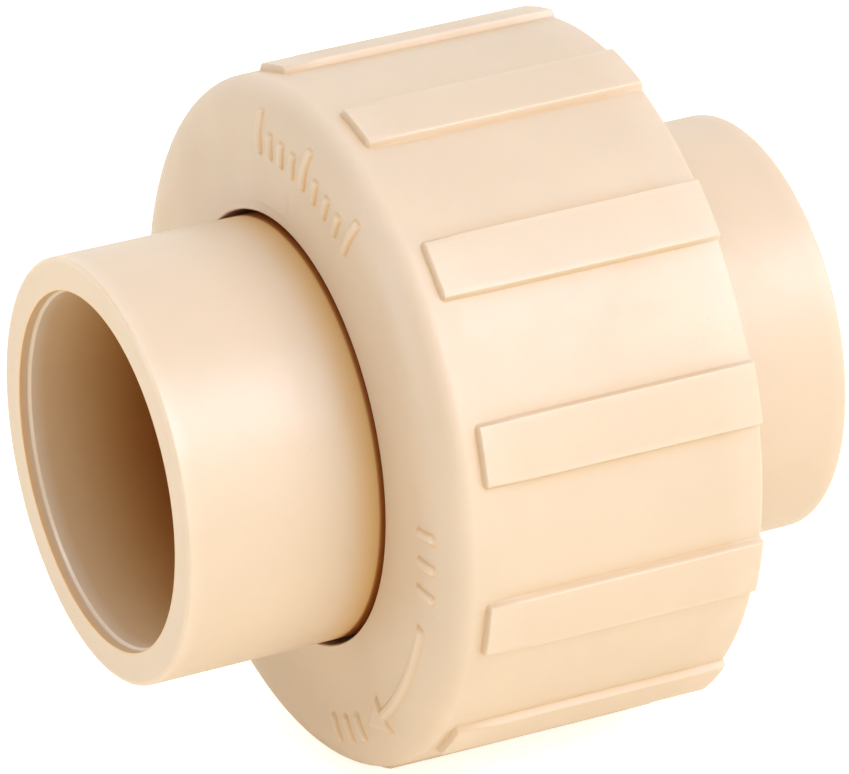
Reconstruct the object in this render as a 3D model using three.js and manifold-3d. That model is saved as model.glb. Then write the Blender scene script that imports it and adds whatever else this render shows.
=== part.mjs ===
// Pipe union for cemented CPVC pipe: a tailpiece and a threaded end, each with a socket for the pipe,
// are drawn together face to face by a ribbed nut, with an O-ring between the two faces.
// Every piece is turned about its local Y axis. The assembly is laid along X at the end:
// tailpiece at -X, threaded end at +X, origin on the axis at the middle of the overall length.
import * as THREE from "three";
import { mergeVertices } from "three/addons/utils/BufferGeometryUtils.js";
import Module from "manifold-3d";

const wasm = await Module();
wasm.setup();

// ---------- Driving dimensions, in millimetres ----------

// Pipe sockets, the same at both ends
const pipeDiameter = 28.6;
const socketEntryPlay = 0.24; // on the diameter, at the mouth
const socketTaper = 0.36; // on the diameter, from the mouth to the bottom
const socketDepth = 22.9;
const socketWall = 2.93; // at the mouth
const pipeStopLedge = 2.04; // width of the ledge that stops the pipe
const mouthStepDepth = 0.8; // shallow counterbore in the end face
const mouthStepWidth = 0.25;
const endEdgeChamfer = 0.4; // outer edge of both end faces

// Lengths of the two socket pieces past their pipe stops
const tailStopLength = 2.0;
const threadedStopLength = 10.4;

// Tailpiece flange
const flangeThickness = 4.0;
const flangeBearing = 4.605; // radial width that the nut's front wall can push on
const flangeChamfer = 0.5;

// Thread between the nut and the threaded end, right-handed
const threadPitch = 4.0;
const threadDepth = 1.5;
const threadCrestWidth = 0.9;
const threadFlankRun = 0.65; // axial run of one flank
const threadFadeTurns = 0.2; // a thread rises from nothing over this share of a turn
const threadLeadIn = 1.0; // plain length before and after the external thread
const threadBedding = 0.5; // how deep a thread's base lies in its body
const headChamfer = 0.6; // both edges of the threaded head

// Union nut
const nutWall = 4.2; // outside the thread's root
const nutLength = 27.8;
const nutFrontWall = 4.0;
const nutSkirt = 1.8; // how far the nut reaches past the threaded head
const nutShoulderAxial = 2.6; // elliptical rounding of the front edge
const nutShoulderRadial = 4.4;
const nutHoleRounding = 0.3;
const nutBackChamfer = 0.8;

// Grip ribs on the nut
const ribCount = 12;
const ribHeight = 0.6;
const ribWidthAngle = THREE.MathUtils.degToRad(10);
const ribStart = 3.5; // behind the nut's front face
const ribRoot = 0.8; // how deep a rib is bedded in the nut's body

// O-ring and its face groove in the threaded end
const sealGrooveWidth = 3.6;
const sealGrooveDepth = 2.6;

// Clearances
const nutHolePlay = 0.45; // tailpiece barrel in the nut's hole, on the radius
const threadPlay = 0.3; // radially at crest and root, axially at each flank
const flangePlay = 0.4; // flange inside the nut's thread, on the radius
const faceGap = 0.3; // nut wall to flange, and flange to seal face
const sealGap = 0.15; // O-ring to groove floor and to flange
const sealSidePlay = 0.25; // O-ring to each groove side

// ---------- Derived dimensions ----------

const mouthRadius = (pipeDiameter + socketEntryPlay) / 2;
const socketBottomRadius = mouthRadius - socketTaper / 2;
const mouthStepRadius = mouthRadius + mouthStepWidth;
const waterwayRadius = socketBottomRadius - pipeStopLedge;
const barrelRadius = mouthRadius + socketWall;

const tailpieceLength = socketDepth + tailStopLength;
const threadedEndLength = socketDepth + threadedStopLength;
const overallLength = tailpieceLength + faceGap + threadedEndLength;

// From the barrel outwards: nut hole, flange, internal thread, external thread, nut wall
const nutHoleRadius = barrelRadius + nutHolePlay;
const flangeRadius = nutHoleRadius + flangeBearing;
const internalMinor = flangeRadius + flangePlay;
const externalMinor = internalMinor - threadPlay;
const externalMajor = externalMinor + threadDepth;
const internalMajor = externalMajor + threadPlay;
const nutRadius = internalMajor + nutWall;

const externalBaseWidth = threadCrestWidth + 2 * threadFlankRun;
const externalFirstCrest = threadLeadIn + externalBaseWidth / 2; // from the seal face
const flankSlope = threadFlankRun / threadDepth;

const headInNut = nutFrontWall + faceGap + flangeThickness + faceGap;
const headLength = nutLength - nutSkirt - headInNut;
const sealHeight = sealGrooveDepth + faceGap - 2 * sealGap;
const sealMeanRadius = (waterwayRadius + externalMinor) / 2; // mid-way across the seal face

const segments = 60; // around the axis: a multiple of the rib count
const arcSteps = 5; // in a quarter round
const sealSectionPoints = 12;

// ---------- Solids ----------

const positionOnly = (geometry) => {
  const bare = geometry.clone();
  bare.deleteAttribute("normal");
  bare.deleteAttribute("uv");
  return mergeVertices(bare, 1e-4);
};

const toSolid = (geometry) => {
  const merged = positionOnly(geometry);
  return new wasm.Manifold(
    new wasm.Mesh({
      numProp: 3,
      vertProperties: merged.attributes.position.array,
      triVerts: new Uint32Array(merged.index.array),
    }),
  );
};

const toGeometry = (solid) => {
  const mesh = solid.getMesh();
  const geometry = new THREE.BufferGeometry();
  geometry.setAttribute("position", new THREE.BufferAttribute(mesh.vertProperties, 3));
  geometry.setIndex(new THREE.BufferAttribute(mesh.triVerts, 1));
  geometry.computeVertexNormals();
  return geometry;
};

// A ring turned about Y from a closed outline of [radius, height] points, listed anticlockwise
// with the radius to the right and the height upwards.
const turned = (outline) => {
  const points = outline.map(([radius, height]) => new THREE.Vector2(radius, height));
  return toSolid(new THREE.LatheGeometry([...points, points[0]], segments));
};

// Outline points along a quarter of an ellipse, from the first angle to the last about its centre.
const ellipseArc = ([centreRadius, centreHeight], [radial, axial], [first, last]) =>
  new THREE.EllipseCurve(centreRadius, centreHeight, radial, axial, first, last)
    .getPoints(arcSteps)
    .map(({ x, y }) => [x, y]);

// A helical thread ridge: a straight bar of trapezium section, wound right-handed round the Y axis.
// Its base is bedded in the body that carries the thread. Over threadFadeTurns at each end the
// crest sinks into that body, so the thread starts and stops from nothing.
const threadRidge = ({ rootRadius, tipRadius, tipWidth, firstCrest, startTurn, turns }) => {
  const outward = Math.sign(tipRadius - rootRadius);
  const height = Math.abs(tipRadius - rootRadius);
  const baseWidth = tipWidth + 2 * flankSlope * (height + threadBedding);
  const section = new THREE.Shape([
    new THREE.Vector2(-baseWidth / 2, 0),
    new THREE.Vector2(baseWidth / 2, 0),
    new THREE.Vector2(tipWidth / 2, 1),
    new THREE.Vector2(-tipWidth / 2, 1),
  ]);
  const steps = Math.round(turns * segments);
  const bar = new THREE.ExtrudeGeometry(section, { depth: turns, steps, bevelEnabled: false });
  const wound = positionOnly(bar);
  const position = wound.attributes.position;
  for (let i = 0; i < position.count; i++) {
    const turn = position.getZ(i);
    const rise = Math.min(1, turn / threadFadeTurns, (turns - turn) / threadFadeTurns);
    const crestHeight = THREE.MathUtils.lerp(-threadBedding / 2, height, rise);
    const level = THREE.MathUtils.lerp(-threadBedding, crestHeight, position.getY(i));
    const radius = rootRadius + outward * level;
    const angle = 2 * Math.PI * (startTurn + turn);
    const along = firstCrest + position.getX(i) + threadPitch * (startTurn + turn);
    position.setXYZ(i, radius * Math.sin(angle), along, radius * Math.cos(angle));
  }
  if (outward < 0) reverseFaces(wound);
  return toSolid(wound);
};

// Swaps two corners of every triangle.
const reverseFaces = (geometry) => {
  const index = geometry.index.array;
  for (let i = 0; i < index.length; i += 3) [index[i + 1], index[i + 2]] = [index[i + 2], index[i + 1]];
};

// ---------- Pieces, each with its own local Y axis ----------

// The socket's inside from the pipe stop to the mouth, for a socket that opens at height mouth
// and runs towards direction (+1 or -1). Listed from the waterway outwards.
const socketOutline = (mouth, direction) => [
  [waterwayRadius, mouth + direction * socketDepth],
  [socketBottomRadius, mouth + direction * socketDepth],
  [mouthRadius, mouth + direction * (mouthStepDepth + mouthStepWidth)],
  [mouthStepRadius, mouth + direction * mouthStepDepth],
  [mouthStepRadius, mouth],
  [barrelRadius - endEdgeChamfer, mouth],
  [barrelRadius, mouth + direction * endEdgeChamfer],
];

// Tailpiece: height 0 is its pipe end, and its flange face is at the top.
const makeTailpiece = () => {
  const flangeBack = tailpieceLength - flangeThickness;
  return turned([
    ...socketOutline(0, 1),
    [barrelRadius, flangeBack],
    [flangeRadius - flangeChamfer, flangeBack],
    [flangeRadius, flangeBack + flangeChamfer],
    [flangeRadius, tailpieceLength - flangeChamfer],
    [flangeRadius - flangeChamfer, tailpieceLength],
    [waterwayRadius, tailpieceLength],
  ]);
};

// Threaded end: height 0 is its seal face, and its pipe end is at the top.
const makeThreadedEnd = () => {
  const grooveInner = sealMeanRadius - sealGrooveWidth / 2;
  const grooveOuter = sealMeanRadius + sealGrooveWidth / 2;
  const body = turned([
    [waterwayRadius, 0],
    [grooveInner, 0],
    [grooveInner, sealGrooveDepth],
    [grooveOuter, sealGrooveDepth],
    [grooveOuter, 0],
    [externalMinor - headChamfer, 0],
    [externalMinor, headChamfer],
    [externalMinor, headLength - headChamfer],
    [externalMinor - headChamfer, headLength],
    [barrelRadius, headLength],
    ...socketOutline(threadedEndLength, -1).reverse(),
  ]);
  const thread = threadRidge({
    rootRadius: externalMinor,
    tipRadius: externalMajor,
    tipWidth: threadCrestWidth,
    firstCrest: externalFirstCrest,
    startTurn: 0,
    turns: (headLength - threadLeadIn - externalBaseWidth / 2 - externalFirstCrest) / threadPitch,
  });
  return body.add(thread);
};

// Union nut: height 0 is its front face. The tailpiece's barrel passes through its front wall.
const makeNut = () => {
  const body = turned([
    ...ellipseArc(
      [nutHoleRadius + nutHoleRounding, nutHoleRounding],
      [nutHoleRounding, nutHoleRounding],
      [Math.PI, 1.5 * Math.PI],
    ),
    ...ellipseArc(
      [nutRadius - nutShoulderRadial, nutShoulderAxial],
      [nutShoulderRadial, nutShoulderAxial],
      [-Math.PI / 2, 0],
    ),
    [nutRadius, nutLength],
    [internalMajor + nutBackChamfer, nutLength],
    [internalMajor, nutLength - nutBackChamfer],
    [internalMajor, nutFrontWall],
    [nutHoleRadius, nutFrontWall],
  ]);
  // The space left between two turns of the external thread at the internal thread's crest
  const spaceAtCrest =
    threadPitch - threadCrestWidth - 2 * flankSlope * (externalMajor - internalMinor);
  const spaceAtRoot =
    threadPitch - threadCrestWidth + 2 * flankSlope * (internalMajor - externalMajor);
  // half a pitch before the first external crest, so that the two threads interleave
  const firstCrest = headInNut + externalFirstCrest - threadPitch / 2;
  const startTurn = 0.5;
  const lastCrest = nutLength - nutBackChamfer - spaceAtRoot / 2;
  const thread = threadRidge({
    rootRadius: internalMajor,
    tipRadius: internalMinor,
    tipWidth: spaceAtCrest - 2 * threadPlay,
    firstCrest,
    startTurn,
    turns: (lastCrest - firstCrest) / threadPitch - startTurn,
  });
  const ribs = Array.from({ length: ribCount }, (_, i) => makeRib(((i + 0.5) * 2 * Math.PI) / ribCount));
  return [thread, ...ribs].reduce((sum, solid) => sum.add(solid), body);
};

// One grip rib: a low pad that runs from behind the shoulder to the nut's back face.
const makeRib = (angle) => {
  const half = ribWidthAngle / 2;
  const outline = new THREE.Shape();
  outline.absarc(0, 0, nutRadius + ribHeight, angle - half, angle + half, false);
  outline.absarc(0, 0, nutRadius - ribRoot, angle + half, angle - half, true);
  const rib = new THREE.ExtrudeGeometry(outline, {
    depth: nutLength - ribStart,
    bevelEnabled: false,
    curveSegments: 4,
  });
  rib.rotateX(-Math.PI / 2);
  rib.translate(0, ribStart, 0);
  return toSolid(rib);
};

// O-ring, squeezed to an oval between the groove floor and the flange. Height 0 is its middle.
const makeSeal = () => {
  const outline = new THREE.EllipseCurve(
    sealMeanRadius,
    0,
    sealGrooveWidth / 2 - sealSidePlay,
    sealHeight / 2,
  ).getPoints(sealSectionPoints);
  return turned(outline.slice(0, -1).map(({ x, y }) => [x, y]));
};

// ---------- Materials ----------

const plastic = (color) => new THREE.MeshStandardMaterial({ color, roughness: 0.42, metalness: 0 });
const creamPlastic = plastic(0xf3dcbc);
const nutPlastic = plastic(0xf1d9b9);
const sealRubber = new THREE.MeshStandardMaterial({ color: 0x1d1d1f, roughness: 0.7, metalness: 0 });

// ---------- Assembly ----------

const union = new THREE.Group();
union.rotation.z = -Math.PI / 2; // local +Y becomes +X

const place = (name, solid, material, height) => {
  const mesh = new THREE.Mesh(toGeometry(solid), material);
  mesh.name = name;
  mesh.position.y = height;
  union.add(mesh);
};

const pipeEnd = -overallLength / 2;
const sealFace = pipeEnd + tailpieceLength + faceGap;

place("tailpiece", makeTailpiece(), creamPlastic, pipeEnd);
place("threaded_end", makeThreadedEnd(), creamPlastic.clone(), sealFace);
place("o_ring", makeSeal(), sealRubber, sealFace + sealGrooveDepth - sealGap - sealHeight / 2);
place("union_nut", makeNut(), nutPlastic, sealFace - headInNut);

export default union;
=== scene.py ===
# %% [markdown]
# # A plastic pipe union
#
# A pipe union lets two pipes be parted again after they are cemented. It has a tailpiece, a threaded
# end, an O-ring between their faces, and a ribbed nut that pulls the faces together. The packed
# model gives every piece its place and its joint. Here each piece is made again with the round
# edges, threads and surface that a moulded part has.
#
# It brings in the imported model, and from then on every length is in metres. The box round the packed
# model is kept: the camera aims at its middle and the floor lies at its bottom.

# %% Load the imported model
import math

import bpy
import numpy as np
from mathutils import Matrix, Vector


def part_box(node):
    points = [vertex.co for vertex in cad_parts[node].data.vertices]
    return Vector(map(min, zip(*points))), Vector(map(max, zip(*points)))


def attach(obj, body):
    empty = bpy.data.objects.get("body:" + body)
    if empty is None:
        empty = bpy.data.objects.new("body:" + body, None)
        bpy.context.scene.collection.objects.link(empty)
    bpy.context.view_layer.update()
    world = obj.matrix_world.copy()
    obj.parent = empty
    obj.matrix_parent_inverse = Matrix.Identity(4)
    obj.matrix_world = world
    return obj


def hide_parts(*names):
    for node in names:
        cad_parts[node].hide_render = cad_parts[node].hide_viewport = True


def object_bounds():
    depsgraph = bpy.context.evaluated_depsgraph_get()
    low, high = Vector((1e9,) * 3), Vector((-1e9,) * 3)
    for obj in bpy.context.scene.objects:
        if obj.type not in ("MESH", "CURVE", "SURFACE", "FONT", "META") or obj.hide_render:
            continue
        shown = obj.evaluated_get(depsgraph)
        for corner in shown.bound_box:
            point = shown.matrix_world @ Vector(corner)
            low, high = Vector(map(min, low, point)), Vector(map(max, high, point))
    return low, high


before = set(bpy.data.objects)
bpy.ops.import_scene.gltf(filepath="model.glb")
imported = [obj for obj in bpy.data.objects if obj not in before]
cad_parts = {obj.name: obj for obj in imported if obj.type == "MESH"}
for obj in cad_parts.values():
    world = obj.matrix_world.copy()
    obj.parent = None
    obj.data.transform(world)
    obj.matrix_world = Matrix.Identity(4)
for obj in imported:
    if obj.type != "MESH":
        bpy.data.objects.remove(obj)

MM = 0.001
cad_low, cad_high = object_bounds()
print("packed model, mm:", [round(v / MM, 2) for v in cad_high - cad_low])

# %% [markdown]
# ## Camera
#
# A long lens far away keeps the circles of the two ends almost the same size, as product
# photographers like it. The camera is placed by the direction it looks from, in degrees round the
# object and above it, because that is easier to change than three coordinates. A small roll tips
# the picture the way a hand-set tripod does.

# %% Camera
camera_azimuth = math.radians(-26.46)
camera_elevation = math.radians(24.0)
camera_roll = math.radians(1.75)
camera_distance = 0.5422
camera_lens = 285.0
camera_aim_up = 0.63 * MM


def make_camera():
    back = Vector((
        math.sin(camera_azimuth) * math.cos(camera_elevation),
        -math.cos(camera_azimuth) * math.cos(camera_elevation),
        math.sin(camera_elevation),
    ))
    level = (-back).to_track_quat("-Z", "Y").to_matrix()
    turn = level @ Matrix.Rotation(-camera_roll, 3, "Z")
    aim = (cad_low + cad_high) / 2 + level @ Vector((0, camera_aim_up, 0))
    data = bpy.data.cameras.new("camera")
    data.lens = camera_lens
    camera = bpy.data.objects.new("camera", data)
    camera.location = aim + back * camera_distance
    camera.rotation_euler = turn.to_euler()
    data.clip_start, data.clip_end = 0.01, 10
    bpy.context.collection.objects.link(camera)
    bpy.context.scene.camera = camera
    return camera


make_camera()
print("camera", camera_distance, "m away")

# %% [markdown]
# ## Studio
#
# A pale fitting on white needs light from all sides, or its shadows turn grey. A bright surround
# does most of it. It is weaker beyond the two ends, most of all beyond the tailpiece, so that the
# end face and the inside of the bore keep some shade.
#
# Four soft lights are added. The key light gives the round parts a broad highlight, the low light
# fills the side under it with a warmer tone, the rim light comes from above the tailpiece's end,
# and a small end light close to the tailpiece lifts its end face.
#
# The floor glows to the camera, so that it looks white, but sends less light back to the fitting.
# Its own colour is warm, which gives the underside its tone. The standard view is used in place of
# the film-like one, because it shows white as white.

# %% Floor and lights
FLOOR_SIZE = 6.0
FLOOR_COLOUR = (0.95, 0.895, 0.755, 1)
FLOOR_GLOW = (1, 0.98, 0.95, 1)
GLOW_ON_FITTING, GLOW_TO_CAMERA = 0.16, 0.7
SURROUND_STRENGTH = 1.2
SURROUND_FALL_START = 0.2  # from here to 1, straight out of an end, the surround gets weaker
TAIL_SHARE, HEAD_SHARE = 0.03, 0.45  # what is left of it there


def make_floor():
    bpy.ops.mesh.primitive_plane_add(size=FLOOR_SIZE, location=(0, 0, cad_low.z))
    floor = bpy.context.object
    floor.name = "studio_floor"
    material = bpy.data.materials.new("studio_paper")
    material.use_nodes = True
    shader = material.node_tree.nodes["Principled BSDF"]
    shader.inputs["Base Color"].default_value = FLOOR_COLOUR
    shader.inputs["Roughness"].default_value = 0.9
    shader.inputs["Specular IOR Level"].default_value = 0.1
    shader.inputs["Emission Color"].default_value = FLOOR_GLOW
    seen = material.node_tree.nodes.new("ShaderNodeLightPath").outputs["Is Camera Ray"]
    glow = material.node_tree.nodes.new("ShaderNodeMapRange")
    glow.inputs["To Min"].default_value = GLOW_ON_FITTING
    glow.inputs["To Max"].default_value = GLOW_TO_CAMERA
    material.node_tree.links.new(seen, glow.inputs["Value"])
    material.node_tree.links.new(glow.outputs["Result"], shader.inputs["Emission Strength"])
    floor.data.materials.append(material)


def make_light(name, direction, distance, size, power, colour):
    """A square soft light in this direction from the fitting, turned towards it."""
    data = bpy.data.lights.new(name, "AREA")
    data.size = size
    data.energy = power
    data.color = colour
    light = bpy.data.objects.new(name, data)
    light.location = Vector(direction).normalized() * distance
    light.rotation_euler = light.location.to_track_quat("Z", "Y").to_euler()
    bpy.context.collection.objects.link(light)


def make_surround():
    """A white surround, brightest across the part and weaker beyond its two ends."""
    world = bpy.data.worlds.new("studio_surround")
    world.use_nodes = True
    tree = world.node_tree
    background = tree.nodes["Background"]
    background.inputs["Color"].default_value = (1, 1, 1, 1)
    direction = tree.nodes.new("ShaderNodeTexCoord").outputs["Generated"]
    split = tree.nodes.new("ShaderNodeSeparateXYZ")
    tree.links.new(direction, split.inputs["Vector"])
    falls = []
    for side, share in ((-1, TAIL_SHARE), (1, HEAD_SHARE)):
        fall = tree.nodes.new("ShaderNodeMapRange")
        fall.interpolation_type = "SMOOTHSTEP"
        fall.inputs["From Min"].default_value = side * SURROUND_FALL_START
        fall.inputs["From Max"].default_value = side
        fall.inputs["To Min"].default_value = 1.0
        fall.inputs["To Max"].default_value = share
        tree.links.new(split.outputs["X"], fall.inputs["Value"])
        falls.append(fall.outputs["Result"])
    both = tree.nodes.new("ShaderNodeMath")
    both.operation = "MULTIPLY"
    tree.links.new(falls[0], both.inputs[0])
    tree.links.new(falls[1], both.inputs[1])
    level = tree.nodes.new("ShaderNodeMath")
    level.operation = "MULTIPLY"
    level.inputs[1].default_value = SURROUND_STRENGTH
    tree.links.new(both.outputs["Value"], level.inputs[0])
    tree.links.new(level.outputs["Value"], background.inputs["Strength"])
    bpy.context.scene.world = world


make_floor()
make_surround()
make_light("key_light", (0.41, -0.66, 0.63), distance=1.2, size=0.7, power=5.0,
           colour=(0.90, 0.955, 1.2))
make_light("low_light", (0.40, -0.90, 0.20), distance=1.2, size=0.9, power=2.6,
           colour=(0.98, 0.92, 0.82))
make_light("rim_light", (-0.84, 0.02, 0.55), distance=1.2, size=0.45, power=1.2,
           colour=(0.92, 0.95, 1.22))
make_light("end_light", (-1.0, 0.12, 0.28), distance=0.11, size=0.05, power=0.0185,
           colour=(0.95, 0.99, 1.05))
bpy.context.scene.view_settings.view_transform = "Standard"
print("floor at", round(cad_low.z / MM, 2), "mm")


# %% [markdown]
# ## Outlines that are spun
#
# Every piece here was moulded round a straight axis, so each starts as an outline, drawn as
# distance along the axis and distance from it. A corner of a moulding is never sharp. The helper
# below takes corners with a rounding and replaces each by a short arc, which keeps the outline
# readable: a handful of corners instead of a long list of points.
#
# The Screw modifier could spin an outline too. A grid of rings is made by hand instead, because the
# nut's ribs and the threads are then made by moving the same grid in and out.

# %% Outline helper
ARC_STEP = math.radians(13)


def rounded(corners):
    """Points of a closed outline from (along, radius, rounding) corners, in millimetres."""
    points = []
    count = len(corners)
    for i, (along, radius, rounding) in enumerate(corners):
        here = np.array((along, radius))
        before = np.array(corners[i - 1][:2]) - here
        after = np.array(corners[(i + 1) % count][:2]) - here
        if rounding == 0:
            points.append(here)
            continue
        before, after = before / np.linalg.norm(before), after / np.linalg.norm(after)
        half = math.acos(np.clip(before @ after, -1, 1)) / 2
        inward = (before + after) / np.linalg.norm(before + after)
        centre = here + inward * rounding / math.sin(half)
        first = here + before * rounding / math.tan(half) - centre
        last = here + after * rounding / math.tan(half) - centre
        turn = math.atan2(first[0] * last[1] - first[1] * last[0], first @ last)
        steps = max(2, round(abs(turn) / ARC_STEP))
        for k in range(steps + 1):
            c, s = math.cos(turn * k / steps), math.sin(turn * k / steps)
            points.append(centre + (c * first[0] - s * first[1], s * first[0] + c * first[1]))
    return np.array(points)


def refined(points, longest, inside=lambda point: True):
    """The same closed outline with no step longer than longest where inside() holds."""
    out = []
    for here, there in zip(points, np.roll(points, -1, axis=0)):
        middle = (here + there) / 2
        parts = 1
        if inside(middle):
            parts = max(1, math.ceil(np.linalg.norm(there - here) / longest))
        out += [here + (there - here) * k / parts for k in range(parts)]
    return np.array(out)


# %% [markdown]
# ## From rings to a mesh
#
# The outline's points become rings of vertices and neighbouring rings are joined by quads. A mould
# maker's drawing says "raise this by half a millimetre here", and the relief function does just
# that: it gets each vertex's place and returns how far it moves along the surface's normal.
#
# Weighted normals let the large flat faces decide how the light falls, so that the narrow rounded
# edges catch a thin highlight and the flats stay flat.

# %% Mesh helper
def spin(name, outline, angles, relief=None, direction=1, origin=0.0):
    """Spins a closed outline, in millimetres, round the X axis; origin is its zero on that axis."""
    along, radius = outline.T
    tangent = np.roll(outline, -1, axis=0) - np.roll(outline, 1, axis=0)
    normal = np.stack([-tangent[:, 1], tangent[:, 0]], axis=1)
    normal /= np.linalg.norm(normal, axis=1, keepdims=True)
    x = np.repeat(along[:, None], len(angles), axis=1)
    r = np.repeat(radius[:, None], len(angles), axis=1)
    if relief:
        x, r = relief(x, r, np.broadcast_to(angles, x.shape), normal[:, None, :])
    x = origin + direction * x
    places = np.stack([x, r * np.cos(angles), r * np.sin(angles)], axis=-1) * MM

    rings, columns = x.shape
    index = np.arange(rings * columns).reshape(rings, columns)
    along_next, round_next = np.roll(index, -1, axis=0), np.roll(index, -1, axis=1)
    quads = np.stack([index, round_next, np.roll(round_next, -1, axis=0), along_next], axis=-1)
    if direction < 0:
        quads = quads[..., ::-1]
    mesh = bpy.data.meshes.new(name)
    mesh.from_pydata(places.reshape(-1, 3).tolist(), [], quads.reshape(-1, 4).tolist())
    mesh.polygons.foreach_set("use_smooth", [True] * len(mesh.polygons))
    mesh.update()
    piece = bpy.data.objects.new(name, mesh)
    bpy.context.collection.objects.link(piece)
    weigh = piece.modifiers.new("weighted_normals", "WEIGHTED_NORMAL")
    weigh.mode = "FACE_AREA"
    weigh.keep_sharp = False
    print(f"{name}: {rings} rings of {columns} points, {len(mesh.polygons)} faces")
    return piece


def even_angles(count):
    return np.linspace(0, 2 * math.pi, count, endpoint=False)


def ease(value):
    """A soft step from 0 to 1 as value goes from 0 to 1."""
    value = np.clip(value, 0, 1)
    return value * value * (3 - 2 * value)


# %% [markdown]
# ## Where edges wear and where highlight and shade are painted
#
# Handling polishes the outer edges of a fitting, and here they are also painted lighter, which is a
# painted highlight. The inner corners are painted darker and warmer, which is painted shade. The
# outline knows where it bends outwards and where it bends inwards, so that is written on the mesh as
# two attributes, edge and crease. A third, depth, says how deep in a bore or a gap a place lies:
# light that gets out of there has bounced many times and has turned brown, and that shade is painted
# as well. The materials read all three later. Painting them by hand would work too, but they would
# have to be painted again after each change of shape.

# %% Edge, crease and depth attributes
TIGHT_BEND = 0.5  # millimetres: a rounding of this radius or less counts in full


def bends(outline):
    """How strongly each point of an outline bends outwards, from -1 (inner corner) to 1 (edge)."""
    into = outline - np.roll(outline, 1, axis=0)
    out = np.roll(outline, -1, axis=0) - outline
    turn = np.arctan2(into[:, 1] * out[:, 0] - into[:, 0] * out[:, 1], (into * out).sum(axis=1))
    step = np.minimum(np.linalg.norm(into, axis=1), np.linalg.norm(out, axis=1))
    return np.clip(turn / step * TIGHT_BEND, -1, 1)


def write_wear_and_shade(piece, outline, columns, edge=0.0, crease=0.0, depth=0.0):
    """Stores edge, crease and depth on every vertex; the outline's own bends are added."""
    bend = np.repeat(bends(outline)[:, None], columns, axis=1)
    for name, values in (("edge", bend + edge), ("crease", crease - bend), ("depth", depth)):
        values = np.clip(np.broadcast_to(values, bend.shape), 0, 1)
        layer = piece.data.attributes.new(name, "FLOAT", "POINT")
        layer.data.foreach_set("value", values.ravel().astype(np.float32))


# %% [markdown]
# ## Sizes that the pieces share
#
# The sockets take a pipe of 28.6 mm, and the other sizes follow from that. The radii are close to
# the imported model's. Places along the axis are read from it, so the pieces stay where it has them.

# %% Shared sizes, in millimetres
mouth_radius, socket_bottom_radius, waterway_radius = 14.42, 14.24, 12.2
step_radius, step_depth = 14.64, 0.75
socket_depth = 22.9
barrel_radius = 17.35
flange_radius, flange_thickness = 22.4, 4.0
thread_pitch, thread_depth = 4.0, 1.5
external_minor = 22.5
internal_major = 24.3
crest_width, flank_run = 0.9, 0.65

tail_low, tail_high = (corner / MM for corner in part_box("tailpiece"))
head_low, head_high = (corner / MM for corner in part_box("threaded_end"))
nut_low, nut_high = (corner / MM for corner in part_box("union_nut"))
ring_low, ring_high = (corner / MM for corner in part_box("o_ring"))
tail_length = tail_high.x - tail_low.x
end_length = head_high.x - head_low.x
nut_length = nut_high.x - nut_low.x
nut_radius = 28.5
rib_height = 0.6
head_length = 17.4
seal_face = head_low.x
COARSE_STEP = 1.2  # longest step of an outline where nothing happens
print("lengths of tailpiece, threaded end and nut, mm:",
      [round(v, 2) for v in (tail_length, end_length, nut_length)])

# %% [markdown]
# ## The socket mouth
#
# Both ends open in the same way: a shallow step in the end face, a small chamfer, and a bore that
# narrows a little towards the ledge that stops the pipe. The taper is what makes the pipe wedge as
# it is pushed in. One function lists these corners, so the two ends can't differ by accident.
#
# The second function says where shade is painted on a socket. The barrel turns warm towards the nut,
# with a thin dark line at the gap. The bore is a little warm all over and gets darker with depth.
# The sharp lip of the mouth is painted warm as well, and the ledge of the step just inside it is kept
# free of that painted shade.

# %% Socket corners
BAND_WIDTH = 3.6  # how far the warm shade at the nut's edge reaches over the barrel
BAND_CURVE = 1.2  # above 1, more of that shade is close to the edge
# Painted shade: an even warm share in the bore, a warm line on the lip, and none of it on the ledge.
BORE_WARMTH = 0.45
LIP_WARMTH, LEDGE_SHADE_CUT = 2.0, 1.0
GAP_SHADE = 0.3  # width of the dark line along the gap itself
BORE_SHADE = 12.0  # how deep inside the bore its shade is full


def socket_corners():
    """From the pipe stop out to the mouth, and over the end face to the barrel."""
    return [
        (socket_depth, waterway_radius, 0.3),
        (socket_depth, socket_bottom_radius, 0.2),
        (step_depth + step_radius - mouth_radius, mouth_radius, 0.12),
        (step_depth, step_radius, 0.12),
        (0, step_radius, 0.08),
        (0, barrel_radius, 0.28),
    ]


def socket_shade(outline, nut_edge, amount):
    """Painted shade at each outline point, as crease and depth; amount is how strongly the nut shades
    the barrel.
    """
    along, radius = outline.T
    on_barrel = np.abs(radius - barrel_radius) < 0.5
    crease = amount * on_barrel * ease(1 + (along - nut_edge) / BAND_WIDTH) ** BAND_CURVE
    inside = radius < step_radius - 0.1
    lip = (np.abs(radius - step_radius) < 0.15) & (along < 0.2)
    ledge = (radius < step_radius + 0.05) & (along > 0.3) & (along < step_depth + 0.6)
    # Painted warm shade in the bore and on the lip; the ledge is kept free of it.
    crease = crease + BORE_WARMTH * inside + LIP_WARMTH * lip - LEDGE_SHADE_CUT * ledge
    depth = inside * np.clip((along - step_depth) / BORE_SHADE, 0, 1) ** 2
    depth = depth + amount * on_barrel * ease(1 + (along - nut_edge) / GAP_SHADE)
    return crease[:, None], depth[:, None]


# %% [markdown]
# ## Tailpiece
#
# The tailpiece is a short barrel with a flange. The nut slides over the barrel and pulls on the
# flange. Its outline is spun in many small steps, because the barrel's round edge is the nearest
# thing to the camera and a faceted edge would show there first.

# %% Tailpiece
SHADE_STEP = 0.15  # steps this short carry the shading of the mouth and of the nut's edge
SHADE_REACH = 4.0  # a little more than BAND_WIDTH


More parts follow.
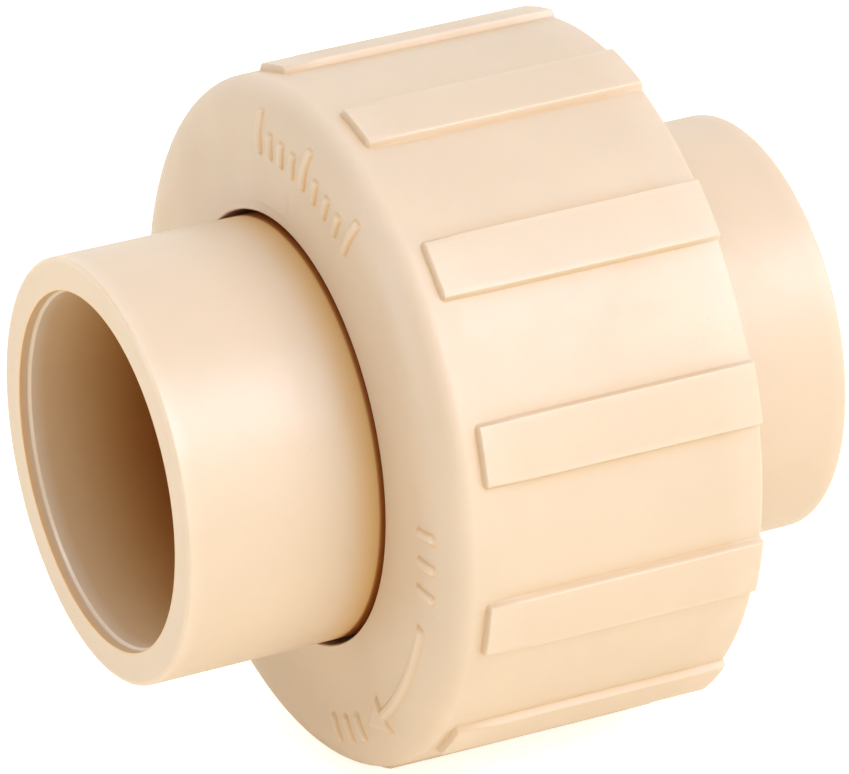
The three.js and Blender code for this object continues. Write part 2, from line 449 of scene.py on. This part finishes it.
def make_tailpiece():
    flange_back = tail_length - flange_thickness
    outline = rounded(socket_corners() + [
        (flange_back, barrel_radius, 0.6),
        (flange_back, flange_radius, 0.5),
        (tail_length, flange_radius, 0.5),
        (tail_length, waterway_radius, 0.3),
    ])
    nut_edge = nut_low.x - tail_low.x

    def shaded(point):
        return point[0] < 0.2 or abs(point[0] - nut_edge) < SHADE_REACH

    outline = refined(refined(outline, COARSE_STEP), SHADE_STEP, inside=shaded)
    angles = even_angles(216)
    piece = spin("tailpiece_barrel", outline, angles, origin=tail_low.x)
    crease, depth = socket_shade(outline, nut_edge, 1.0)
    write_wear_and_shade(piece, outline, len(angles), crease=crease, depth=depth)
    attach(piece, "tailpiece")
    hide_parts("tailpiece")
    return piece


tailpiece = make_tailpiece()

# %% [markdown]
# ## How a thread is drawn on a grid
#
# A thread could be a wound bar joined on with a boolean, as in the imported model. For a smooth
# surface it is simpler to lift the rings of the grid: at each place the nearest turn of the thread
# is found, and the height falls off to both sides of its crest. The same function serves the
# outside thread and, half a pitch on, the inside thread, so that the two always mesh.

# %% Thread height
FADE_TURNS = 0.2  # the thread rises and falls over this part of a turn at its two ends
FIRST_CREST = 2.1  # from the seal face to the thread's first crest
QUARTER = math.pi / 2


def thread_height(x, angle, crest, run, first_turn, last_turn, shift=0.0):
    """Height from 0 to 1 at x and angle for a right-handed thread that starts shift pitches on."""
    lap = np.mod(angle - QUARTER, 2 * math.pi) / (2 * math.pi)
    phase = (x - seal_face - FIRST_CREST) / thread_pitch - lap - shift
    turn = np.round(phase) + lap
    aside = np.abs(phase - np.round(phase)) * thread_pitch
    rise = np.clip(np.minimum(turn - first_turn, last_turn - turn) / FADE_TURNS, 0, 1)
    return ease((crest / 2 + run - aside) / run) * ease(rise)


# %% [markdown]
# ## Threaded end
#
# The threaded end has a socket at one side and a screwed head at the other, with a groove in the
# head's face for the O-ring. It is the same kind of outline, mirrored. Only the rings that lie on
# the thread's root are lifted, and they are closer together than the others.

# %% Threaded end
GROOVE_MIDDLE, GROOVE_WIDTH, GROOVE_DEPTH = 17.35, 3.6, 2.6
HEAD_EDGE = 0.6
THREAD_RING = 0.17
REAR_SHADE = 0.45  # the nut shades the rear barrel less than the front one


def make_threaded_end():
    head_back = end_length - head_length
    groove_floor = end_length - GROOVE_DEPTH
    outer, inner = GROOVE_MIDDLE + GROOVE_WIDTH / 2, GROOVE_MIDDLE - GROOVE_WIDTH / 2
    outline = rounded(socket_corners() + [
        (head_back, barrel_radius, 0.8),
        (head_back, external_minor, 0.5),
        (end_length - HEAD_EDGE, external_minor, 0.2),
        (end_length, external_minor - HEAD_EDGE, 0.2),
        (end_length, outer, 0.15),
        (groove_floor, outer, 0.3),
        (groove_floor, inner, 0.3),
        (end_length, inner, 0.15),
        (end_length, waterway_radius, 0.3),
    ])

    def on_root(point):
        return abs(point[1] - external_minor) < 1e-6

    outline = refined(refined(outline, COARSE_STEP), THREAD_RING, inside=on_root)
    last_turn = (head_length - 2 * FIRST_CREST) / thread_pitch

    def relief(x, r, angle, normal):
        along = head_high.x - x
        height = thread_height(along, angle, crest_width, flank_run, 0, last_turn)
        return x, r + thread_depth * height * (np.abs(r - external_minor) < 1e-6)

    angles = even_angles(192)
    piece = spin("threaded_end_barrel", outline, angles, relief, direction=-1, origin=head_high.x)
    crease, depth = socket_shade(outline, head_high.x - nut_high.x, REAR_SHADE)
    write_wear_and_shade(piece, outline, len(angles), crease=crease, depth=depth)
    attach(piece, "threaded_end")
    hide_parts("threaded_end")
    return piece


threaded_end = make_threaded_end()

# %% [markdown]
# ## O-ring
#
# The O-ring lies in the groove, squeezed to an oval. A moulded ring has a fine line of flash where
# the two halves of its mould met, so the oval gets a small bump at its inner and outer middle.

# %% O-ring
RING_SIDE_PLAY = 0.25
FLASH_HEIGHT, FLASH_WIDTH = 0.06, 0.12


def make_o_ring():
    middle = (ring_low.x + ring_high.x) / 2
    half_height = (ring_high.x - ring_low.x) / 2
    half_width = GROOVE_WIDTH / 2 - RING_SIDE_PLAY
    turns = even_angles(56)
    flash = FLASH_HEIGHT * np.exp(-(np.sin(turns) / FLASH_WIDTH) ** 2)
    outline = np.stack([
        middle + half_height * np.sin(turns),
        GROOVE_MIDDLE + (half_width - FLASH_HEIGHT) * np.cos(turns) + flash * np.sign(np.cos(turns)),
    ], axis=1)
    angles = even_angles(180)
    piece = spin("seal_ring", outline, angles)
    write_wear_and_shade(piece, outline, len(angles))
    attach(piece, "threaded_end")
    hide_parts("o_ring")
    return piece


o_ring = make_o_ring()

# %% [markdown]
# ## The nut's relief
#
# Twelve low ribs let a hand or a strap wrench grip the nut, and the front face has raised marks:
# a scale of short ticks, an arrow for the tightening direction and a low empty plate. Each is
# described by its distance function, which says how far a place is from the shape's border. The
# height follows from that distance, so every wall gets the same slope and the same soft foot.

# %% Distance functions, in millimetres
def box_distance(u, v, half_u, half_v, corner):
    """Distance to a rectangle with rounded corners, negative inside it."""
    out_u = np.abs(u) - (half_u - corner)
    out_v = np.abs(v) - (half_v - corner)
    outside = np.hypot(np.maximum(out_u, 0), np.maximum(out_v, 0))
    return outside + np.minimum(np.maximum(out_u, out_v), 0) - corner


def triangle_distance(u, v, length, half_base):
    """Distance to a triangle whose tip points along u, from its base at u = 0."""
    slope = math.hypot(length, half_base)
    side = (np.abs(v) * length + (u - length) * half_base) / slope
    return np.maximum(side, -u)


def raised(distance, height, wall):
    """Height over a shape with this distance function, with a wall this wide at its border."""
    return height * ease(0.5 - distance / wall)


# %% [markdown]
# ### Ribs
#
# A rib starts behind the nut's rounded shoulder and runs out at the back face. Its distance is
# measured on the unrolled side of the nut, where it is a plain rounded rectangle.

# %% Ribs
RIB_COUNT = 12
RIB_START = 3.6
RIB_HALF_WIDTH = 2.5
RIB_WALL = 0.28
RIB_CORNER = 0.5
rib_spacing = 2 * math.pi / RIB_COUNT


def rib_distance(x, angle):
    across = (np.mod(angle, rib_spacing) - rib_spacing / 2) * nut_radius
    half_length = nut_length / 2  # runs past the back face, so that it has no end wall there
    return box_distance(across, x - RIB_START - half_length, RIB_HALF_WIDTH, half_length, RIB_CORNER)


# %% [markdown]
# ### Marks on the front face
#
# The marks lie on a circle around the hole. A place on the face is turned into millimetres along
# that circle and outwards from it, and each mark is a small drawing in those two directions.

# %% Front marks
MARK_RADIUS = 24.7
MARK_HEIGHT = 0.3
MARK_WALL = 0.28
TICK_HALF_WIDTH = 0.32
SCALE_PLACES = [math.radians(84 + 4.7 * i) for i in range(9)]
ARROW_START, ARROW_SWEEP = math.radians(199), math.radians(30)
SIDE_TICKS = [math.radians(a) for a in (179, 185, 191, 241, 246.5, 252)]
PLATE_ANGLE, PLATE_RADIUS = math.radians(84), 20.2
PLATE_HEIGHT, PLATE_WALL = 0.04, 0.2


def tick_distance(angle, r, place, half_length, middle):
    across = (angle - place) * MARK_RADIUS
    return box_distance(across, r - middle, TICK_HALF_WIDTH, half_length, 0.2)


def mark_distance(angle, r):
    """Distance to the nearest tick or arrow."""
    nearest = np.full(np.shape(r), 99.0)
    for i, place in enumerate(SCALE_PLACES):
        half_length = 1.7 if i % 4 == 0 else 1.0
        middle = MARK_RADIUS - 1.7 + half_length
        nearest = np.minimum(nearest, tick_distance(angle, r, place, half_length, middle))
    for place in SIDE_TICKS:
        nearest = np.minimum(nearest, tick_distance(angle, r, place, 1.1, MARK_RADIUS))
    half_sweep = ARROW_SWEEP / 2 * MARK_RADIUS
    along = (angle - ARROW_START) * MARK_RADIUS
    shaft = box_distance(along - half_sweep, r - MARK_RADIUS, half_sweep, 0.38, 0.1)
    head = triangle_distance(along - 2 * half_sweep, r - MARK_RADIUS, 3.0, 1.5)
    return np.minimum(nearest, np.minimum(shaft, head))


def plate_distance(angle, r):
    """Distance to the low empty plate next to the hole."""
    across = (angle - PLATE_ANGLE) * PLATE_RADIUS
    return box_distance(across, r - PLATE_RADIUS, 4.6, 1.5, 1.4)


# %% [markdown]
# ## Union nut
#
# The nut's outline goes from the hole over the front face and the broad shoulder, back along the
# side, and home through the threaded bore. The shoulder is a quarter of an ellipse. Columns of the
# grid are closer together at the rib walls and under the marks, and wide apart elsewhere, which
# puts the faces where there is something to show.

# %% Columns and outline of the nut
HOLE_RADIUS = 17.8
SHOULDER_AXIAL, SHOULDER_RADIAL = 2.64, 4.44
FRONT_RADIUS = 28.34  # the side widens a little towards the back, so that the mould lets go
FRONT_WALL = 4.0
HOLE_ROUNDING = 0.2
BORE_LEAD = 0.8
SUPPORT = 1.4  # the ribs stand on this much of the back face
THREAD_STOP = 1.4  # the inside thread ends this far before the lead
THREAD_PLAY = 0.7  # how much narrower its crest is than the outside thread's gap
FLANK_SHARE = 0.8  # how much of a soft flank counts as width
NUT_STEP, MARK_STEP, BORE_STEP = 3.5, 0.16, 0.3


def nut_angles():
    picks = [even_angles(96), np.linspace(ARROW_START - 0.03, ARROW_START + ARROW_SWEEP + 0.14, 84)]
    across = np.linspace(-1.4, 1.4, 8) * RIB_WALL / 2
    for i in range(RIB_COUNT):
        for side in (-1, 1):
            picks.append((i + 0.5) * rib_spacing + (side * RIB_HALF_WIDTH + across) / nut_radius)
    across = np.linspace(-1, 1, 8) * (TICK_HALF_WIDTH + MARK_WALL)
    for place in SCALE_PLACES + SIDE_TICKS:
        picks.append(place + across / MARK_RADIUS)
    ordered = np.sort(np.mod(np.concatenate(picks), 2 * math.pi))
    gaps = np.diff(ordered, append=ordered[0] + 2 * math.pi)
    return ordered[gaps > math.radians(0.07)]


def nut_outline():
    sweep = np.linspace(-math.pi / 2, 0, 36)
    shoulder = [
        (SHOULDER_AXIAL * (1 + math.sin(t)), FRONT_RADIUS + SHOULDER_RADIAL * (math.cos(t) - 1), 0)
        for t in sweep
    ]
    draft = (nut_radius - FRONT_RADIUS) / (nut_length - SHOULDER_AXIAL)
    rib_foot = [
        (x, FRONT_RADIUS + draft * (x - SHOULDER_AXIAL), 0)
        for x in RIB_START + np.linspace(-0.65, 0.65, 9) * RIB_WALL
    ]
    outline = rounded([
        (FRONT_WALL, HOLE_RADIUS, 0.5),
        (0, HOLE_RADIUS, HOLE_ROUNDING),
        *shoulder,
        *rib_foot,
        (nut_length, nut_radius, 0.3),
        (nut_length, nut_radius - SUPPORT, 0),
        (nut_length, internal_major + BORE_LEAD, 0.3),
        (nut_length - BORE_LEAD, internal_major, 0),
        (FRONT_WALL, internal_major, 0.4),
    ])

    def marked(point):
        return point[0] < 0.01 and point[1] > HOLE_RADIUS + HOLE_ROUNDING

    def threaded(point):
        return abs(point[1] - internal_major) < 1e-6

    outline = refined(refined(outline, NUT_STEP), MARK_STEP, inside=marked)
    return refined(outline, BORE_STEP, inside=threaded)


# %% [markdown]
# Now the grid is moved. The ribs are lifted straight out from the axis, so that their sides stay
# in line, and the marks along the surface's own normal. The inside thread moves towards the axis.

# %% Union nut
FAR_AWAY = 9.0


def stripe(distance, middle, width):
    """A soft line: 1 at this distance, fading to both sides over this width."""
    return np.exp(-((distance - middle) / width) ** 2)


def nut_distances(x, r, angle):
    """How far each place is from the nearest rib, mark and plate."""
    side = (r > nut_radius - SUPPORT / 2) & (x > SHOULDER_AXIAL / 2)
    front = (x < SHOULDER_AXIAL) & (r > HOLE_RADIUS) & (r < internal_major + 3)
    rib = np.where(side, rib_distance(x, angle), FAR_AWAY)
    mark = np.where(front, mark_distance(angle, r), FAR_AWAY)
    plate = np.where(front, plate_distance(angle, r), FAR_AWAY)
    return rib, mark, plate


def make_union_nut():
    outline, angles = nut_outline(), nut_angles()
    crest = thread_pitch - crest_width - 2 * flank_run * FLANK_SHARE - THREAD_PLAY
    thread_end = nut_high.x - BORE_LEAD - THREAD_STOP
    last_turn = (thread_end - seal_face - FIRST_CREST) / thread_pitch

    def relief(x, r, angle, normal):
        rib, mark, plate = nut_distances(x, r, angle)
        bore = (np.abs(r - internal_major) < 1e-6) & (x > FRONT_WALL)
        height = thread_height(x + nut_low.x, angle, crest, flank_run, 0, last_turn, shift=-0.5)
        lift = raised(mark, MARK_HEIGHT, MARK_WALL) + raised(plate, PLATE_HEIGHT, PLATE_WALL)
        r = r + raised(rib, rib_height, RIB_WALL) - thread_depth * height * bore
        return x + normal[..., 0] * lift, r + normal[..., 1] * lift

    piece = spin("union_nut_body", outline, angles, relief, origin=nut_low.x)
    shape = np.ones((len(outline), len(angles)))
    along, radius = outline.T
    rib, mark, _ = nut_distances(along[:, None] * shape, radius[:, None] * shape, angles * shape)
    rib_walls, mark_walls = rib / RIB_WALL, mark / MARK_WALL
    # Painted highlight along the tops of the rib and mark walls.
    edge = stripe(np.minimum(rib_walls, mark_walls), -0.5, 0.25)
    hole = (along > 0.1) & (along < FRONT_WALL) & (radius < HOLE_RADIUS + 0.3)
    # Painted warm shade at the feet of the ribs and marks and inside the hole.
    crease = 0.6 * stripe(rib_walls, 0.4, 0.3) + stripe(mark_walls, 0.4, 0.3) + hole[:, None]
    write_wear_and_shade(piece, outline, len(angles), edge, crease)
    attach(piece, "union_nut")
    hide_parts("union_nut")
    return piece


union_nut = make_union_nut()

# %% [markdown]
# ## Surface effects that the materials share
#
# A moulded surface is never perfectly smooth. Up close it has a fine grain from the mould, and over
# a few millimetres it rolls softly, like the peel of an orange. Both are noise, at two sizes. They
# are put in one node group that gives a height, so each material can ask for its own amounts.
#
# Noise is read at the object's own coordinates, so it stays on the piece when the piece moves.

# %% Node helpers
def new_group(name, inputs, outputs):
    """A shader node group with these sockets, (name, type, default) in and (name, type) out."""
    tree = bpy.data.node_groups.new(name, "ShaderNodeTree")
    for label, kind, default in inputs:
        socket = tree.interface.new_socket(name=label, in_out="INPUT", socket_type=kind)
        socket.default_value = default
    for label, kind in outputs:
        tree.interface.new_socket(name=label, in_out="OUTPUT", socket_type=kind)
    return tree, tree.nodes.new("NodeGroupInput"), tree.nodes.new("NodeGroupOutput")


def noise(tree, place, scale, detail=2.0, roughness=0.5):
    """Noise of about 1 / scale metres across; scale may be a number or a socket."""
    node = tree.nodes.new("ShaderNodeTexNoise")
    node.inputs["Detail"].default_value = detail
    node.inputs["Roughness"].default_value = roughness
    tree.links.new(place, node.inputs["Vector"])
    put(tree, scale, node.inputs["Scale"])
    return node.outputs["Fac"]


def put(tree, value, socket):
    """Sets a socket to a number or links it to another socket."""
    if isinstance(value, bpy.types.NodeSocket):
        tree.links.new(value, socket)
    else:
        socket.default_value = value


def math_node(tree, operation, *values):
    node = tree.nodes.new("ShaderNodeMath")
    node.operation = operation
    for value, socket in zip(values, node.inputs):
        put(tree, value, socket)
    return node.outputs["Value"]


def spread(tree, value, low, high, to_low=0.0, to_high=1.0):
    """Stretches the part of value between low and high over a new range, and cuts off the rest."""
    node = tree.nodes.new("ShaderNodeMapRange")
    node.interpolation_type = "SMOOTHSTEP"
    for amount, label in zip((value, low, high, to_low, to_high),
                             ("Value", "From Min", "From Max", "To Min", "To Max")):
        put(tree, amount, node.inputs[label])
    return node.outputs["Result"]


def mixed(tree, share, first, second, blend="MIX"):
    """Mixes two colours; share may be a socket."""
    node = tree.nodes.new("ShaderNodeMix")
    node.data_type = "RGBA"
    node.blend_type = blend
    for value, label in ((share, "Factor"), (first, "A"), (second, "B")):
        socket = [s for s in node.inputs if s.name == label and s.enabled][-1]
        put(tree, value, socket)
    return [s for s in node.outputs if s.enabled][0]


# %% [markdown]
# ### Moulded grain
#
# The group takes the two sizes and the two amounts and puts out one height for a Bump node.

# %% Node group: moulded grain
def make_moulded_grain():
    tree, inside, out = new_group(
        "moulded_grain",
        [("Place", "NodeSocketVector", (0, 0, 0)), ("Grain Scale", "NodeSocketFloat", 5000.0),
         ("Grain Amount", "NodeSocketFloat", 0.3), ("Peel Scale", "NodeSocketFloat", 420.0),
         ("Peel Amount", "NodeSocketFloat", 1.0)],
        [("Height", "NodeSocketFloat")],
    )
    place = inside.outputs["Place"]
    grain = noise(tree, place, inside.outputs["Grain Scale"], detail=3)
    peel = noise(tree, place, inside.outputs["Peel Scale"], detail=1.5)
    fine = math_node(tree, "MULTIPLY", grain, inside.outputs["Grain Amount"])
    coarse = math_node(tree, "MULTIPLY", peel, inside.outputs["Peel Amount"])
    tree.links.new(math_node(tree, "ADD", fine, coarse), out.inputs["Height"])
    return tree


moulded_grain = make_moulded_grain()

# %% [markdown]
# ### Worn and highlit edges
#
# The edge attribute is exact, and real wear is not. The group breaks it up with noise, so an edge is
# rubbed and lightened here and less there. The lightening is a painted highlight; the rubbing makes
# the edge glossier. The crease attribute is used as it is, because shade is even.

# %% Node group: worn and highlit edges
def make_worn_and_highlit_edges():
    tree, inside, out = new_group(
        "worn_and_highlit_edges",
        [("Place", "NodeSocketVector", (0, 0, 0)), ("Edge", "NodeSocketFloat", 0.0),
         ("Break Up", "NodeSocketFloat", 0.5)],
        [("Edge Mask", "NodeSocketFloat")],
    )
    patches = noise(tree, inside.outputs["Place"], 700.0, detail=4, roughness=0.6)
    uneven = spread(tree, patches, 0.3, 0.65)
    lost = math_node(tree, "MULTIPLY", inside.outputs["Break Up"], uneven)
    kept = math_node(tree, "SUBTRACT", 1.0, lost)
    edge_amount = math_node(tree, "MULTIPLY", inside.outputs["Edge"], kept)
    tree.links.new(edge_amount, out.inputs["Edge Mask"])
    return tree


worn_and_highlit_edges = make_worn_and_highlit_edges()

# %% [markdown]
# ### Light that has bounced
#
# Cream plastic keeps most of the red light that falls on it and less of the blue. Inside a bore or
# a narrow corner the light bounces several times, so it turns browner with each bounce. That is a
# power law: the share kept by one bounce, to the power of how many there were. The renderer works
# out real bounces, and this group adds the few that are lost when the model is shown with simpler
# lights.

# %% Node group: bounced light
KEPT_BY_A_BOUNCE = (0.45, 0.19, 0.04)


def make_bounced_light():
    tree, inside, out = new_group(
        "bounced_light",
        [("Color", "NodeSocketColor", (1, 1, 1, 1)), ("Bounces", "NodeSocketFloat", 0.0)],
        [("Color", "NodeSocketColor")],
    )
    kept = tree.nodes.new("ShaderNodeCombineColor")
    for share, channel in zip(KEPT_BY_A_BOUNCE, kept.inputs):
        tree.links.new(math_node(tree, "POWER", share, inside.outputs["Bounces"]), channel)
    tinted = mixed(tree, 1.0, inside.outputs["Color"], kept.outputs["Color"], blend="MULTIPLY")
    tree.links.new(tinted, out.inputs["Color"])
    return tree


bounced_light = make_bounced_light()

# %% [markdown]
# ### Handling marks
#
# Fingers leave faint smears that only show in the gloss, and a few specks of dust settle on top.
# The group puts out a smear mask for the roughness and a speck mask for the colour.

# %% Node group: handling marks
def make_handling():
    tree, inside, out = new_group(
        "handling_marks",
        [("Place", "NodeSocketVector", (0, 0, 0)), ("Smear Scale", "NodeSocketFloat", 120.0),
         ("Speck Scale", "NodeSocketFloat", 900.0)],
        [("Smear Mask", "NodeSocketFloat"), ("Speck Mask", "NodeSocketFloat")],
    )
    smear = noise(tree, inside.outputs["Place"], inside.outputs["Smear Scale"], 5, 0.65)
    tree.links.new(spread(tree, smear, 0.35, 0.7), out.inputs["Smear Mask"])
    cells = tree.nodes.new("ShaderNodeTexVoronoi")
    tree.links.new(inside.outputs["Place"], cells.inputs["Vector"])
    tree.links.new(inside.outputs["Speck Scale"], cells.inputs["Scale"])
    dot = spread(tree, cells.outputs["Distance"], 0.05, 0.11, 1.0, 0.0)
    chosen = noise(tree, inside.outputs["Place"], 260.0, 1)
    few = spread(tree, chosen, 0.62, 0.7)
    tree.links.new(math_node(tree, "MULTIPLY", dot, few), out.inputs["Speck Mask"])
    return tree


handling_marks = make_handling()

# %% [markdown]
# ## Cream plastic
#
# The fitting is moulded from a cream hot-water plastic. Light goes a little way into it, so a part
# of its colour comes from subsurface scattering, which also softens the threads and marks. Its
# inner corners look warm, because light bounces there from cream to cream. Cycles does some of
# that; a warm tint on the crease mask, painted shade, does the rest.

# %% Material: cream plastic
def add_group(tree, group, place, **values):
    node = tree.nodes.new("ShaderNodeGroup")
    node.node_tree = group
    tree.links.new(place, node.inputs["Place"])
    for label, value in values.items():
        put(tree, value, node.inputs[label.replace("_", " ")])
    return node


def attribute(tree, name):
    node = tree.nodes.new("ShaderNodeAttribute")
    node.attribute_name = name
    return node.outputs["Fac"]


CREAM, DARKER_CREAM = (0.70, 0.545, 0.385), 0.965
# The warm colour is painted shade in the creases.
WARM_SHADE, WARM_SHADE_SHARE = (0.69, 0.41, 0.14), 0.9
# The pale colour is a painted highlight on the edges.
PALE, RUBBED_AND_HIGHLIT_SHARE = (0.84, 0.70, 0.55), 0.3
DUST, DUST_SHARE = (0.42, 0.33, 0.24), 0.25
SMEAR_ROUGHNESS, RUBBED_GLOSS = 0.1, -0.08
BUMP_DISTANCE = 0.00002


def add_bump(tree, shader, place, **amounts):
    """Gives the shader the moulded grain as a bump, with these amounts."""
    texture = add_group(tree, moulded_grain, place, **amounts)
    bump = tree.nodes.new("ShaderNodeBump")
    bump.inputs["Strength"].default_value = 1.0
    bump.inputs["Distance"].default_value = BUMP_DISTANCE
    tree.links.new(texture.outputs["Height"], bump.inputs["Height"])
    tree.links.new(bump.outputs["Normal"], shader.inputs["Normal"])


def cream_plastic(name, grain, gloss):
    """Moulded cream plastic with this grain height and this roughness."""
    material = bpy.data.materials.new(name)
    material.use_nodes = True
    tree = material.node_tree
    shader = tree.nodes["Principled BSDF"]
    place = tree.nodes.new("ShaderNodeTexCoord").outputs["Object"]

    # The edge mask makes the colour paler, a painted highlight, and the surface glossier, as rubbing
    # does.
    edge_group = add_group(tree, worn_and_highlit_edges, place, Edge=attribute(tree, "edge"), Break_Up=0.35)
    handling = add_group(tree, handling_marks, place)
    clouds = spread(tree, noise(tree, place, 90.0, 3), 0.3, 0.7)
    darker = tuple(DARKER_CREAM * c for c in CREAM)
    colour = mixed(tree, clouds, (*CREAM, 1), (*darker, 1))
    # Painted warm shade in the creases, round the nut's hole and in the bore.
    in_creases = math_node(tree, "MULTIPLY", attribute(tree, "crease"), WARM_SHADE_SHARE)
    colour = mixed(tree, in_creases, colour, (*WARM_SHADE, 1))
    bounced = tree.nodes.new("ShaderNodeGroup")
    bounced.node_tree = bounced_light
    put(tree, colour, bounced.inputs["Color"])
    put(tree, attribute(tree, "depth"), bounced.inputs["Bounces"])
    colour = bounced.outputs["Color"]
    # Painted highlight: the edges are mixed towards the pale colour.
    on_edges = math_node(tree, "MULTIPLY", edge_group.outputs["Edge Mask"], RUBBED_AND_HIGHLIT_SHARE)
    colour = mixed(tree, on_edges, colour, (*PALE, 1))
    specks = math_node(tree, "MULTIPLY", handling.outputs["Speck Mask"], DUST_SHARE)
    colour = mixed(tree, specks, colour, (*DUST, 1))
    tree.links.new(colour, shader.inputs["Base Color"])

    duller = gloss + SMEAR_ROUGHNESS
    smeared = spread(tree, handling.outputs["Smear Mask"], 0.0, 1.0, gloss, duller)
    edge_amount = math_node(tree, "MULTIPLY", edge_group.outputs["Edge Mask"], RUBBED_GLOSS)
    tree.links.new(math_node(tree, "ADD", smeared, edge_amount), shader.inputs["Roughness"])

    add_bump(tree, shader, place, Grain_Amount=grain)
    shader.inputs["Subsurface Weight"].default_value = 0.3
    shader.inputs["Subsurface Scale"].default_value = 0.001
    shader.inputs["Subsurface Radius"].default_value = (1.0, 0.55, 0.3)
    shader.inputs["IOR"].default_value = 1.52
    shader.inputs["Specular IOR Level"].default_value = 0.8
    return material


socket_plastic = cream_plastic("cream_socket_plastic", grain=0.25, gloss=0.36)
nut_plastic = cream_plastic("cream_nut_plastic", grain=0.45, gloss=0.40)
print("cream plastic", CREAM)

# %% [markdown]
# ## Black rubber
#
# The O-ring is a black synthetic rubber: matt, a little grey where the mould release and dust sit,
# with a fine bloom. It uses the same groups with stronger grain.

# %% Material: black rubber
BLACK, GREY_BLOOM = (0.014, 0.014, 0.015), (0.032, 0.031, 0.030)
GREY_DUST, GREY_DUST_SHARE = (0.3, 0.29, 0.27), 0.6


def black_rubber():
    material = bpy.data.materials.new("black_seal_rubber")
    material.use_nodes = True
    tree = material.node_tree
    shader = tree.nodes["Principled BSDF"]
    place = tree.nodes.new("ShaderNodeTexCoord").outputs["Object"]
    handling = add_group(tree, handling_marks, place, Smear_Scale=300.0, Speck_Scale=1600.0)
    colour = mixed(tree, handling.outputs["Smear Mask"], (*BLACK, 1), (*GREY_BLOOM, 1))
    specks = math_node(tree, "MULTIPLY", handling.outputs["Speck Mask"], GREY_DUST_SHARE)
    colour = mixed(tree, specks, colour, (*GREY_DUST, 1))
    tree.links.new(colour, shader.inputs["Base Color"])
    rough = spread(tree, handling.outputs["Smear Mask"], 0.0, 1.0, 0.45, 0.62)
    tree.links.new(rough, shader.inputs["Roughness"])
    add_bump(tree, shader, place, Grain_Amount=0.8, Peel_Amount=0.6)
    return material


rubber = black_rubber()

# %% [markdown]
# ## Giving each piece its finish
#
# The two socket pieces share one plastic and the nut has its own, with a slightly stronger grain.

# %% Finishes
for piece, material in (
    (tailpiece, socket_plastic),
    (threaded_end, socket_plastic),
    (union_nut, nut_plastic),
    (o_ring, rubber),
):
    piece.data.materials.append(material)
    print(piece.name, "gets", material.name)
